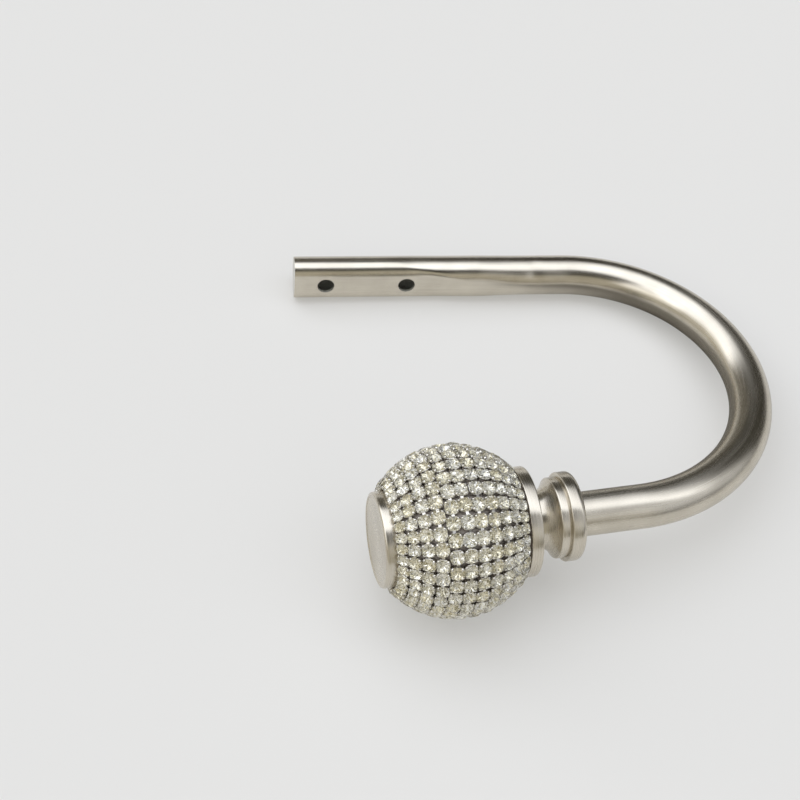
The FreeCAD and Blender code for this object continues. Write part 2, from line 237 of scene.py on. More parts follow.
def hand_over(piece: Object, slot: str, *nodes: str) -> Object:
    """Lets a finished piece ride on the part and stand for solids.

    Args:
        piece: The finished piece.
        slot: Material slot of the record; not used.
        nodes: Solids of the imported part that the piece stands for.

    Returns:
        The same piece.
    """
    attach(piece, BODY)
    if nodes:
        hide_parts(*nodes)
    LOG.info("%s: %d faces", piece.name, len(piece.data.polygons))
    return piece


class Finish:
    """A finish, which builds its node material."""

    name: str

    def shader(self, tree: NodeTree) -> Node:
        """Adds the nodes of the finish.

        Args:
            tree: Empty node tree of the material.

        Returns:
            The node with the finished shader.
        """
        raise NotImplementedError

    def material(self) -> Material:
        """Builds the node material under the name of the real one."""
        material = bpy.data.materials.new(self.name)
        material.use_nodes = True
        tree = material.node_tree
        tree.nodes.clear()
        add_node(tree, "ShaderNodeOutputMaterial", {"Surface": self.shader(tree)})
        return material


@dataclass(frozen=True)
class SatinNickel(Finish):
    """Nickel plate over brushed metal: a warm grey mirror, softened by fine lines along the grain."""

    grain: Grain
    colour: str = "#d2cbbd"
    shade: str = "#c6bfb1"
    roughness: float = 0.17
    roughness_spread: float = 0.04
    stretch: float = 0.0
    streak: float = 0.05
    line_length: float = 25.0
    line_depth: float = 0.004
    cloud_size: float = 9.0
    bent_roughness: float = 0.0
    bent_from: float = 105.0
    bent_full: float = 150.0

    @property
    def name(self) -> str:
        """Name with the grain."""
        return f"satin_nickel_{self.grain.name.lower()}"

    def shader(self, tree: NodeTree) -> Node:
        """Adds the nodes, on a UV map in millimetres that runs along the grain."""
        place = add_node(tree, "ShaderNodeUVMap", uv_map="grain")
        # The real lines are some hundredths of a millimetre apart; they are drawn coarser, so that they show.
        scale = (1 / self.line_length, 1 / self.grain.value, 1.0)
        lines = add_node(tree, "ShaderNodeMapping", {"Vector": place, "Scale": scale})
        brush = add_node(tree, "ShaderNodeTexNoise",
                         {"Vector": lines, "Scale": 1.0, "Detail": 4.0, "Roughness": 0.65}, noise_dimensions="2D")
        _, tint = mottled(tree, self.cloud_size, 3.0, (0.3, 0.7), (self.shade, self.colour))
        streaks = add_node(tree, "ShaderNodeMapRange",
                           {"Value": brush, "From Min": 0.3, "From Max": 0.7, "To Min": 1 - self.streak,
                            "To Max": 1 + self.streak})
        tone = add_node(tree, "ShaderNodeVectorMath", {0: tint, "Scale": streaks}, operation="SCALE")
        low, high = self.roughness - self.roughness_spread, self.roughness + self.roughness_spread
        rough = add_node(tree, "ShaderNodeMapRange",
                         {"Value": brush, "From Min": 0.25, "From Max": 0.75, "To Min": low, "To Max": high})
        reach = add_node(tree, "ShaderNodeSeparateXYZ", {"Vector": place})
        bent = add_node(tree, "ShaderNodeMapRange",
                        {"Value": reach.outputs["X"], "From Min": self.bent_from, "From Max": self.bent_full,
                         "To Max": self.bent_roughness}, interpolation_type="SMOOTHSTEP")
        rough = add_node(tree, "ShaderNodeMath", {0: rough, 1: bent}, operation="ADD")
        bump = add_node(tree, "ShaderNodeBump", {"Height": brush, "Strength": 1.0, "Distance": self.line_depth * MM})
        across = add_node(tree, "ShaderNodeTangent", direction_type="UV_MAP", uv_map="grain")
        return add_node(tree, "ShaderNodeBsdfPrincipled",
                        {"Base Color": tone, "Metallic": 1.0, "Roughness": rough, "Normal": bump,
                         "Anisotropic": self.stretch, "Anisotropic Rotation": 0.25, "Tangent": across})


@dataclass(frozen=True)
class ClawMetal(Finish):
    """Silver-plated brass strip, stamped into cups and claws: bright, with dull spots at random."""

    name: str = "silver_plated_brass"
    colour: str = "#e6e3dc"
    shade: str = "#c0bcb3"
    roughness: float = 0.22
    spot_size: float = 0.9

    def shader(self, tree: NodeTree) -> Node:
        """Adds the nodes of the finish."""
        _, tint = mottled(tree, self.spot_size, 2.0, (0.35, 0.6), (self.shade, self.colour))
        return add_node(tree, "ShaderNodeBsdfPrincipled",
                        {"Base Color": tint, "Metallic": 1.0, "Roughness": self.roughness})


@dataclass(frozen=True)
class RhinestoneGlass(Finish):
    """Cut crystal glass, moulded and fire polished: clear, with a faint champagne tint."""

    name: str = "cut_crystal_glass"
    colour: str = "#fdfcf6"
    ior: float = 1.3
    roughness: float = 0.01

    def shader(self, tree: NodeTree) -> Node:
        """Adds the nodes of the finish."""
        return add_node(tree, "ShaderNodeBsdfPrincipled",
                        {"Base Color": linear(self.colour), "Roughness": self.roughness, "IOR": self.ior,
                         "Transmission Weight": 1.0})


@dataclass(frozen=True)
class MirrorFoil(Finish):
    """Champagne mirror foil behind a stone, with the fan of small facets that the glass is cut with drawn on it: each
    facet leans the normal and takes a colour from painted shade to painted glint.
    """

    name: str = "mirror_foil"
    # Facet colours: pale is near the foil's own colour, dull is painted shade and bright is painted glints; warm tints
    # single stones.
    dull: str = "#bdb9a6"
    pale: str = "#f1eee2"
    bright: str = "#ffffff"
    warm: str = "#f8f4e6"
    roughness: float = 0.07
    mirror: float = 0.8
    milky: float = 0.7
    spokes: float = 22.0
    facet_length: float = 0.6
    facet_lean: float = 0.8
    lot_spread: float = 97.0
    pale_from: float = 0.2
    bright_from: float = 0.45
    milky_from: float = 0.55
    milky_full: float = 0.6

    def shader(self, tree: NodeTree) -> Node:
        """Adds the nodes, on the place within the stone in millimetres."""
        place = add_node(tree, "ShaderNodeAttribute", attribute_name="cut_place")
        pick = add_node(tree, "ShaderNodeAttribute", attribute_name="stone_pick")
        flat = add_node(tree, "ShaderNodeVectorMath", {0: place.outputs["Vector"], 1: (1.0, 1.0, 0.0)},
                        operation="MULTIPLY")
        far = add_node(tree, "ShaderNodeVectorMath", {0: flat}, operation="LENGTH")
        axes = add_node(tree, "ShaderNodeSeparateXYZ", {"Vector": place.outputs["Vector"]})
        value = {"x": axes.outputs["X"], "y": axes.outputs["Y"], "far": far.outputs["Value"],
                 "pick": pick.outputs["Fac"]}
        steps = (
            ("turn", "ARCTAN2", "y", "x"), ("fan", "MULTIPLY", "turn", self.spokes / (2 * math.pi)),
            ("lot", "MULTIPLY", "pick", self.lot_spread), ("swing", "ADD", "fan", "lot"), ("spoke", "FLOOR", "swing"),
            ("ring part", "DIVIDE", "far", self.facet_length), ("ring share", "ADD", "ring part", "pick"),
            ("ring", "FLOOR", "ring share"),
        )
        for name, operation, *terms in steps:
            inputs = {i: value[term] if isinstance(term, str) else term for i, term in enumerate(terms)}
            value[name] = add_node(tree, "ShaderNodeMath", inputs, operation=operation)
        cell = add_node(tree, "ShaderNodeCombineXYZ", {0: value["spoke"], 1: value["ring"], 2: value["lot"]})
        facet = add_node(tree, "ShaderNodeTexWhiteNoise", {"Vector": cell}, noise_dimensions="3D")
        # Painted light: each facet cell takes the dull, pale or bright colour at random, as painted shade and painted
        # glints.
        ramp = add_node(tree, "ShaderNodeValToRGB", {"Fac": facet})
        ramp.color_ramp.interpolation = "CONSTANT"
        first, last = ramp.color_ramp.elements
        first.color = linear(self.dull)
        last.position, last.color = self.bright_from, linear(self.bright)
        ramp.color_ramp.elements.new(self.pale_from).color = linear(self.pale)
        tint = add_node(tree, "ShaderNodeMix", {"Factor": pick.outputs["Fac"], 6: ramp, 7: linear(self.warm)},
                        data_type="RGBA", blend_type="MULTIPLY")
        surface = add_node(tree, "ShaderNodeNewGeometry")
        middle = add_node(tree, "ShaderNodeVectorMath", {0: facet.outputs["Color"], 1: (0.5, 0.5, 0.5)},
                          operation="SUBTRACT")
        lean = add_node(tree, "ShaderNodeVectorMath", {0: middle, "Scale": self.facet_lean}, operation="SCALE")
        leant = add_node(tree, "ShaderNodeVectorMath", {0: surface.outputs["Normal"], 1: lean}, operation="ADD")
        facing = add_node(tree, "ShaderNodeVectorMath", {0: leant}, operation="NORMALIZE")
        shine = add_node(tree, "ShaderNodeMapRange",
                         {"Value": facet, "From Min": self.milky_from, "From Max": self.milky_full,
                          "To Min": self.mirror, "To Max": self.milky})
        return add_node(tree, "ShaderNodeBsdfPrincipled",
                        {"Base Color": tint.outputs[2], "Metallic": shine, "Roughness": self.roughness,
                         "Normal": facing})


@dataclass(frozen=True)
class Moulding(Finish):
    """Moulded plastic with a fine matt grain."""

    name: str
    colour: str
    shade: str
    roughness: float = 0.55
    grit: float = 0.6
    grit_depth: float = 0.02

    def shader(self, tree: NodeTree) -> Node:
        """Adds the nodes of the finish."""
        grit, tint = mottled(tree, self.grit, 3.0, (0.35, 0.65), (self.shade, self.colour))
        bump = add_node(tree, "ShaderNodeBump", {"Height": grit, "Strength": 0.4, "Distance": self.grit_depth * MM})
        return add_node(tree, "ShaderNodeBsdfPrincipled",
                        {"Base Color": tint, "Roughness": self.roughness, "Normal": bump})


@dataclass(frozen=True)
class TableWithPaintedLight(Finish):
    """Pale table board with painted light and shade: seen directly it is evenly pale, a glow mixed in lifts the shadows
    on it, and within the bend it turns darker for reflections only, so the metal mirrors painted shade there.
    """

    name: str = "table_painted_glow_and_shade"
    colour: str = "#dedcd8"
    # Painted light: the board glows with this share of emission in this colour, which lifts the shadows cast on it.
    glow: float = 0.36
    light: str = "#efefed"
    # Painted shade seen only in reflections: its colour, its middle near the bend, and the distances where it is full
    # and where it ends.
    shade: str = "#7d7a74"
    shade_middle: tuple[float, float, float] = (92.0, -36.0, -10.0)
    shade_full: float = 24.0
    shade_end: float = 60.0

    def shader(self, tree: NodeTree) -> Node:
        """Adds the nodes of the finish."""
        rays = tree.nodes.new("ShaderNodeLightPath")
        spot = add_node(tree, "ShaderNodeNewGeometry")
        # Painted shade: near the bend the board turns darker for glossy rays, so only the metal mirrors it.
        far = add_node(tree, "ShaderNodeVectorMath", {0: spot.outputs["Position"], 1: Vector(self.shade_middle) * MM},
                       operation="DISTANCE")
        painted_shade_mask = add_node(tree, "ShaderNodeMapRange",
                        {"Value": far.outputs["Value"], "From Min": self.shade_end * MM,
                         "From Max": self.shade_full * MM, "To Max": rays.outputs["Is Glossy Ray"]},
                        interpolation_type="SMOOTHSTEP")
        tone = add_node(tree, "ShaderNodeMix", {"Factor": painted_shade_mask, 6: linear(self.colour), 7: linear(self.shade)},
                        data_type="RGBA")
        board = add_node(tree, "ShaderNodeBsdfPrincipled",
                         {"Base Color": tone.outputs[2], "Roughness": 0.9, "Specular IOR Level": 0.1})
        # Painted light: part of the board is plain emission, which lifts the shadows on it; for glossy rays it drops
        # away within the painted shade.
        painted_glow = add_node(tree, "ShaderNodeEmission", {"Color": linear(self.light)})
        share = add_node(tree, "ShaderNodeMapRange", {"Value": painted_shade_mask, "To Min": self.glow, "To Max": 0.0})
        return add_node(tree, "ShaderNodeMixShader", {0: share, 1: board, 2: painted_glow})


@dataclass
class HookTube:
    """The tube: pressed wall arm with two screw holes, run-out to round, bend and straight into the collar."""

    diameter: float = 12.7
    wall: float = 1.0
    bend_radius: float = 50.0
    bend_angle: float = math.radians(173.0)
    arm_length: float = 87.0
    ball_arm_length: float = 20.3
    seat_depth: float = 8.0
    press_spread: float = 1.035
    flat_half_angle: float = math.radians(54.0)
    flat_corner: float = 3.8
    soft_half_angle: float = math.radians(36.0)
    soft_corner: float = 4.7
    pressed_length: float = 43.0
    flat_end_length: float = 16.0
    flat_end_bulge: float = 12.0
    run_out_length: float = 18.5
    run_out_start: float = 1.6
    run_out_end: int = 3
    dent_depth: float = 0.1
    dent_length: float = 2.2
    dent_turn: float = math.radians(140.0)
    hole_diameter: float = 5.4
    hole_pitch: float = 26.0
    hole_margin: float = 10.0
    steps_round: int = 120
    arc_share: float = 0.55
    corner_share: float = 0.22
    fine_margins: tuple[float, float] = (10.0, 6.0)
    arm_steps: tuple[int, int, int] = (12, 48, 52)
    bend_steps: int = 150
    reach_steps: int = 10
    hole_steps: int = 64

    @property
    def bend_x(self) -> float:
        """Where the bend starts along the wall arm."""
        return self.arm_length - self.hole_margin - self.hole_pitch / 2

    def press_radius(self, half_angle: float) -> float:
        """Radius of a pressed section's arc, from the girth of the tube."""
        share = math.pi - half_angle + math.sin(half_angle)
        return self.diameter / 2 * self.press_spread * math.pi / share

    @property
    def flat_from_axis(self) -> float:
        """From the middle of the round tube to the flat."""
        radius = self.press_radius(self.flat_half_angle)
        return radius * math.cos(self.flat_half_angle) + radius - self.diameter / 2

    def in_bend(self, turn: float) -> Vector:
        """Middle of the tube after part of the bend's turn."""
        return Vector((self.bend_x + self.bend_radius * math.sin(turn),
                       self.flat_from_axis - self.bend_radius * (1 - math.cos(turn)), 0.0))

    def finial_frame(self) -> Matrix:
        """Frame whose X axis runs along the finial, from the end of the bend, in millimetres."""
        return Matrix.Translation(self.in_bend(self.bend_angle)) @ Matrix.Rotation(-self.bend_angle, 4, "Z")

    def path(self) -> list[tuple[float, Vector, Vector]]:
        """Stations along the middle of the tube.

        Returns:
            Length so far, place and direction of each station.
        """
        stations: list[tuple[float, Vector, Vector]] = []
        start = self.bend_x - self.arm_length
        fine_start = self.pressed_length - self.fine_margins[0]
        fine_end = self.pressed_length + self.flat_end_length + self.fine_margins[1]
        limits = (0.0, fine_start, fine_end, self.arm_length)
        for first, last, count in zip(limits, limits[1:], self.arm_steps):
            for index in range(count):
                length = first + (last - first) * index / count
                place = Vector((start + length, self.flat_from_axis, 0.0))
                stations.append((length, place, Vector((1.0, 0.0, 0.0))))
        for index in range(self.bend_steps + 1):
            turn = self.bend_angle * index / self.bend_steps
            direction = Vector((math.cos(turn), -math.sin(turn), 0.0))
            stations.append((self.arm_length + self.bend_radius * turn, self.in_bend(turn), direction))
        length, place, direction = stations[-1]
        for index in range(1, self.reach_steps + 1):
            step = (self.ball_arm_length + self.seat_depth) * index / self.reach_steps
            stations.append((length + step, place + direction * step, direction))
        return stations

    def pressed_section(self, half_angle: float, corner_round: float, inset: float) -> Profile:
        """Outline of the pressed tube as a D with rounded corners.

        Args:
            half_angle: Half of the arc that the press flattens.
            corner_round: Rounding of the corners beside the flat.
            inset: Distance inside the outside of the tube.

        Returns:
            Points from the back round over the top, the flat and the bottom: away from the flat, and up.
        """
        whole = self.press_radius(half_angle)
        radius, corner = whole - inset, corner_round - inset
        flat = whole * math.cos(half_angle) - inset
        rise = math.sqrt((radius - corner) ** 2 - (flat - corner) ** 2)
        tangent = math.atan2(rise, -(flat - corner))
        shift = self.diameter / 2 - whole
        quarter = self.steps_round // 2
        on_arc, on_corner = int(quarter * self.arc_share), int(quarter * self.corner_share)
        on_flat = quarter - on_arc - on_corner
        half: Profile = []
        for index in range(on_arc):
            angle = tangent * index / on_arc
            half.append((radius * math.cos(angle), radius * math.sin(angle)))
        for index in range(on_corner):
            angle = tangent + (math.pi - tangent) * index / on_corner
            half.append((-(flat - corner) + corner * math.cos(angle), rise + corner * math.sin(angle)))
        for index in range(on_flat):
            half.append((-flat, rise * (1 - index / on_flat)))
        mirrored = [(x, -y) for x, y in half[:0:-1]]
        return [(x + shift, y) for x, y in half + [(-flat, 0.0)] + mirrored]

    def sections(self, inset: float) -> tuple[Profile, Profile, Profile]:
        """Outlines with matching points: the full flat, the end of the flat and the round tube.

        Args:
            inset: Distance inside the outside of the tube.

        Returns:
            The three outlines.
        """
        flat = self.pressed_section(self.flat_half_angle, self.flat_corner, inset)
        soft = self.pressed_section(self.soft_half_angle, self.soft_corner, inset)
        radius = self.diameter / 2 - inset
        angles = [math.atan2(y, x) for x, y in self.pressed_section(self.soft_half_angle, self.soft_corner, 0.0)]
        return flat, soft, [(radius * math.cos(angle), radius * math.sin(angle)) for angle in angles]

    def blend(self, length: float, points: Sequence[tuple[float, float]]) -> tuple[float, float]:
        """Point of the tube's outline at one length, between the matching points of the three outlines.

        The flat ends in a curve: its middle reaches further than its edges.

        Args:
            length: Length along the tube from the free end.
            points: The point on the full flat, at the end of the flat and on the round tube.

        Returns:
            Place away from the flat, and up.
        """
        height = max(points[0][1], 0.0) / self.press_radius(self.flat_half_angle)
        ahead = length + self.flat_end_bulge * height ** 2 * (length < self.pressed_length + self.flat_end_length)
        share = min(max((ahead - self.pressed_length) / self.flat_end_length, 0.0), 1.0)
        first, second = points[0], points[1]
        if share >= 1.0:
            start = self.pressed_length + self.flat_end_length
            share = min(max((length - start) / self.run_out_length, 0.0), 1.0)
            share = 1 - (1 - share ** self.run_out_start) ** self.run_out_end
            first, second = points[1], points[2]
        else:
            share = share * share * (3 - 2 * share)
        away, up = (a * (1 - share) + b * share for a, b in zip(first, second))
        middle = self.pressed_length + self.flat_end_length + self.run_out_length
        facing = max(math.cos(math.atan2(up, away) - self.dent_turn), 0.0)
        dent = self.dent_depth * facing ** 2 * math.exp(-((length - middle) / self.dent_length) ** 2)
        shrink = 1 - dent / math.hypot(away, up)
        return away * shrink, up * shrink

    def skin(self, mesh: BMesh, inset: float, inside: bool) -> list[Ring]:
        """Adds one wall of the tube as a grid of faces.

        Args:
            mesh: Mesh that gets the faces.
            inset: Distance inside the outside of the tube.
            inside: Whether the faces look into the tube and take the second material.

        Returns:
            The rings of points, from the free end on.
        """
        outlines = self.sections(inset)
        rings, lengths = [], []
        for length, place, direction in self.path():
            outward = Vector((-direction.y, direction.x, 0.0))
            ring = []
            for points in zip(*outlines):
                away, up = self.blend(length, points)
                ring.append(mesh.verts.new(place + outward * away + Vector((0.0, 0.0, up))))
            rings.append(ring)
            lengths.append(length)
        for face in wall(mesh, rings, lengths, running_length(outlines[0]), False):
            face.material_index = int(inside)
        return rings

    def build(self) -> Object:
        """Builds the tube as one closed solid, before drilling."""
        mesh = bmesh.new()
        grain = mesh.loops.layers.uv.new("grain")
        outside = self.skin(mesh, 0.0, False)
        inside = self.skin(mesh, self.wall, True)
        for first, last in ((outside[0], inside[0]), (inside[-1], outside[-1])):
            for face in bridge(mesh, first, last):
                for loop in face.loops:
                    loop[grain].uv = (loop.vert.co.z, loop.vert.co.y)
        return object_from("hook_tube_satin", mesh_from("hook_tube_blank", mesh, TO_METRES))

    def drill(self, tube: Object) -> None:
        """Cuts the two screw holes through both walls; their sides take the tube's second material.

        Args:
            tube: The tube before drilling, with its materials.
        """
        drill_mesh = bmesh.new()
        for place in (-self.hole_pitch / 2, self.hole_pitch / 2):
            turn = Matrix.Translation((place, self.flat_from_axis, 0.0)) @ Matrix.Rotation(math.pi / 2, 4, "X")
            bmesh.ops.create_cone(drill_mesh, cap_ends=True, segments=self.hole_steps,
                                  radius1=self.hole_diameter / 2, radius2=self.hole_diameter / 2,
                                  depth=3 * self.diameter, matrix=turn)
        for face in drill_mesh.faces:
            face.material_index = 1
        data = mesh_from("drill", drill_mesh, TO_METRES)
        for material in tube.data.materials:
            data.materials.append(material)
        drill = object_from("drill", data)
        cut = tube.modifiers.new("screw_holes", "BOOLEAN")
        cut.object, cut.operation, cut.solver = drill, "DIFFERENCE", "EXACT"
        bake(tube)
        bpy.data.objects.remove(drill)

    def dress(self, tube: Object, metal: Material, bare: Material) -> Object:
        """Gives the tube its finishes, drills it and hands it over.

        Args:
            tube: The tube before drilling.
            metal: Satin nickel with the grain of a drawn tube.
            bare: Bare steel of the bore and the screw holes.

        Returns:
            The finished piece.
        """
        tube.data.materials.append(metal)
        tube.data.materials.append(bare)
        self.drill(tube)
        smooth_by_angle(tube.data)
        return hand_over(tube, "satin_nickel", "hook_tube")


def smooth_by_angle(mesh: Mesh, limit: float = math.radians(35.0)) -> None:
    """Shades a mesh smooth, with sharp edges where its faces turn by more than a limit.

    Args:
        mesh: Mesh to shade.
        limit: Largest turn between faces that still shades smooth, in radians.
    """
    work = bmesh.new()
    work.from_mesh(mesh)
    for face in work.faces:
        face.smooth = True
    for edge in work.edges:
        edge.smooth = edge.calc_face_angle(0.0) < limit
    work.to_mesh(mesh)
    work.free()


def rounded(corners: Sequence[tuple[float, float, float]], steps: int = 8) -> Profile:
    """Rounds the corners of a profile.

    Args:
        corners: Place along the axis, radius and rounding of each corner, in order.
        steps: Points on each rounding.

    Returns:
        Points of the closed profile.
    """
    points: Profile = []
    for index, (x, y, rounding) in enumerate(corners):
        here = Vector((x, y))
        if rounding <= 0:
            points.append((x, y))
            continue
        before = (Vector(corners[index - 1][:2]) - here).normalized()
        after = (Vector(corners[(index + 1) % len(corners)][:2]) - here).normalized()
        half = before.angle(after) / 2
        reach = rounding / math.tan(half)
        centre = here + (before + after).normalized() * (rounding / math.sin(half))
        first, last = here + before * reach - centre, here + after * reach - centre
        turn = first.angle_signed(last)
        for step in range(steps + 1):
            angle = -turn * step / steps
            spoke = Matrix.Rotation(angle, 2) @ first
            points.append((centre.x + spoke.x, centre.y + spoke.y))
    return points


def lathe(name: str, profile: Profile, placing: Matrix, steps: int = 160) -> Object:
    """Turns a closed profile about the finial's axis into a solid with a UV map along the turning lines.

    Args:
        name: Name of the piece.
        profile: Points along the axis and away from it, in millimetres.
        placing: Frame of the finial, in millimetres.
        steps: Faces round the axis.

    Returns:
        The turned piece, in metres.
    """
    mesh = bmesh.new()
    mesh.loops.layers.uv.new("grain")
    angles = [2 * math.pi * step / steps for step in range(steps + 1)]
    widest = max(radius for _, radius in profile)
    rings = []
    for along, radius in profile:
        if radius < ON_AXIS:
            rings.append([mesh.verts.new((along, 0.0, 0.0))] * steps)
            continue
        rings.append([mesh.verts.new((along, radius * math.cos(angle), radius * math.sin(angle)))
                      for angle in angles[:-1]])
    wall(mesh, rings + rings[:1], running_length(profile), [widest * angle for angle in angles], True)
    data = mesh_from(name, mesh, TO_METRES @ placing)
    smooth_by_angle(data)
    return object_from(name, data)


@dataclass
class TurnedPiece:
    """A piece turned about the finial's axis, from a place along it on, with a hole for the stud."""

    placing: Matrix
    start: float
    stud_hole: float = 2.55

    def dress(self, piece: Object, metal: Material, node: str) -> Object:
        """Gives the piece its finish and hands it over.

        Args:
            piece: The turned piece.
            metal: Satin nickel with the grain of a turned piece.
            node: Solid that it stands for.

        Returns:
            The same piece.
        """
        piece.data.materials.append(metal)
        return hand_over(piece, "satin_nickel", node)


@dataclass
class Collar(TurnedPiece):
    """The turned collar: ring, step, cove, neck and flange, bored for the tube and the stud."""

    bore: float = 6.4
    ring: tuple[float, float] = (12.6, 4.3)
    ring_round: float = 1.6
    edge_round: float = 0.4
    step: tuple[float, float] = (11.4, 2.6)
    cove_width: float = 5.5
    neck: tuple[float, float] = (7.7, 1.2)
    flange: tuple[float, float] = (15.5, 3.5)
    seat_depth: float = 8.0
    groove: float = 0.25
    groove_round: float = 0.2
    cove_steps: int = 24

    @property
    def ball_start(self) -> float:
        """Where the flange ends and the ball begins, along the axis."""
        return self.start + self.ring[1] + self.step[1] + self.cove_width + self.neck[1] + self.flange[1]

    def build(self) -> Object:
        """Turns the collar from its profile."""
        step_at = self.start + self.ring[1]
        cove_at = step_at + self.step[1]
        neck_at = cove_at + self.cove_width
        flange_at = neck_at + self.neck[1]
        soft = self.edge_round
        corners = [(self.start, self.bore, 0.0), (self.start, self.ring[0], self.ring_round),
                   (step_at, self.ring[0], soft), (step_at, self.step[0] - self.groove, 0.0),
                   (step_at + self.groove, self.step[0] - self.groove, 0.0),
                   (step_at + self.groove, self.step[0], self.groove_round), (cove_at, self.step[0], soft)]
        rise = self.step[0] - self.neck[0]
        radius = (self.cove_width ** 2 + rise ** 2) / (2 * rise)
        start_angle = math.asin(self.cove_width / radius)
        for index in range(1, self.cove_steps + 1):
            angle = start_angle * (1 - index / self.cove_steps)
            corners.append((neck_at - radius * math.sin(angle), self.neck[0] + radius * (1 - math.cos(angle)), 0.0))
        corners += [(flange_at, self.neck[0], soft), (flange_at, self.flange[0], soft),
                    (self.ball_start, self.flange[0], soft), (self.ball_start, self.stud_hole, 0.0),
                    (self.start + self.seat_depth, self.stud_hole, 0.0), (self.start + self.seat_depth, self.bore, 0.0)]
        return lathe("collar_turned", rounded(corners), self.placing)


@dataclass
class EndCap(TurnedPiece):
    """The cap: a disc with a raised, rounded rim and a dished face, on a spigot."""

    radius: float = 13.3
    thickness: float = 3.5
    rim_round: float = 0.8
    rim_height: float = 0.2
    face_round: float = 0.15
    back_round: float = 0.2
    dish_radius: float = 12.2
    dish_depth: float = 0.3
    spigot_radius: float = 5.0
    spigot_length: float = 8.0
    dish_steps: int = 24

    def build(self) -> Object:
        """Turns the cap from its profile."""
        face = self.start + self.thickness
        edge = face - self.rim_height
        corners = [(self.start - self.spigot_length, self.stud_hole, 0.0), (self.start, self.stud_hole, 0.0),
                   (self.start, 0.0, 0.0)]
        for index in range(self.dish_steps + 1):
            share = index / self.dish_steps
            corners.append((edge - self.dish_depth * (1 - share ** 2), self.dish_radius * share, 0.0))
        corners += [(face, self.dish_radius + self.rim_height, self.face_round), (face, self.radius, self.rim_round),
                    (self.start, self.radius, self.back_round), (self.start, self.spigot_radius, 0.0),
                    (self.start - self.spigot_length, self.spigot_radius, 0.0)]
        return lathe("end_cap_turned", rounded(corners), self.placing)


